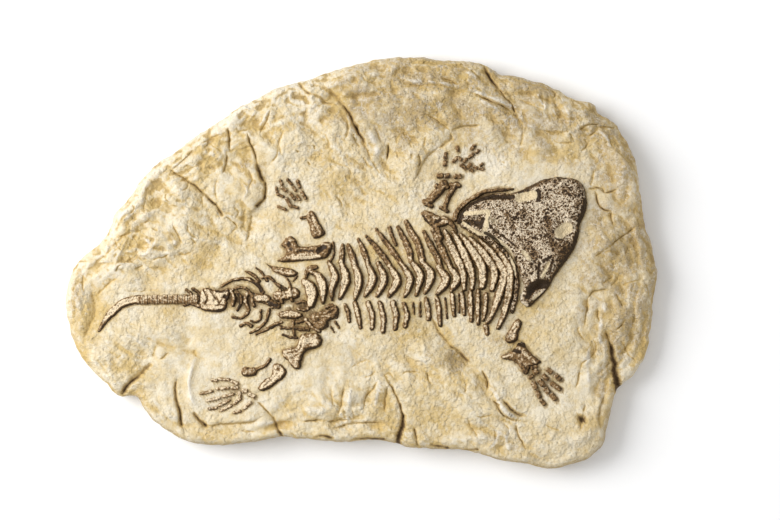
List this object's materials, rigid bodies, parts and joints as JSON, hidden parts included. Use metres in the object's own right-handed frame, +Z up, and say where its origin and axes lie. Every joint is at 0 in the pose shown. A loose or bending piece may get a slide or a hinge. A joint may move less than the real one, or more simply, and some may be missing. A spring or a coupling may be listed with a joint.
{
  "type": "fossil reptile skeleton in its stone slab",
  "caption": "Skeleton of a small reptile, seen from its back, lying in low relief on an irregular flat slab of pale stone; it rests on the slab's cut underside.",
  "frame": {"origin": "on the flat underside, below the middle of the slab's bounding box", "axes": "+X along the slab's length towards the skull, +Y across it towards the animal's left side, +Z up out of the face that carries the bones"},
  "size_m": [0.595, 0.414, 0.0511],
  "materials": {
    "stone": "rough cream limestone with ochre stains in its folds and cracks",
    "bone": "dark brown mineralised bone, worn pale and speckled on its high points"
  },
  "bodies": {
    "root": {"femur_left": "bone", "femur_right": "bone", "fibula_right": "bone", "foot_left": "bone", "foot_right": "bone", "forearm_right": "bone", "hand_left": "bone", "hand_right": "bone", "humerus_left": "bone", "humerus_right": "bone", "ilium_left": "bone", "ilium_right": "bone", "ischium_right": "bone", "jaw_left": "bone", "radius_left": "bone", "rib_left_loose": "bone", "rib_right_01": "bone", "rib_right_02": "bone", "rib_right_03": "bone", "rib_right_04": "bone", "rib_right_05": "bone", "rib_right_06": "bone", "rib_right_07": "bone", "rib_right_08": "bone", "rib_right_09": "bone", "rib_right_10": "bone", "rib_right_11": "bone", "rib_right_12": "bone", "rib_right_13": "bone", "sacrum": "bone", "shin_left": "bone", "skull": "bone", "slab": "stone", "tail": "bone", "tibia_right": "bone", "ulna_left": "bone", "vertebra_01": "bone", "vertebra_02": "bone", "vertebra_03": "bone", "vertebra_04": "bone", "vertebra_05": "bone", "vertebra_06": "bone", "vertebra_07": "bone", "vertebra_08": "bone", "vertebra_09": "bone", "vertebra_10": "bone", "vertebra_11": "bone", "vertebra_12": "bone", "vertebra_13": "bone", "vertebra_14": "bone", "vertebra_15": "bone", "vertebra_16": "bone", "vertebra_17": "bone", "vertebra_18": "bone", "vertebra_19": "bone"}
  },
  "joints": []
}
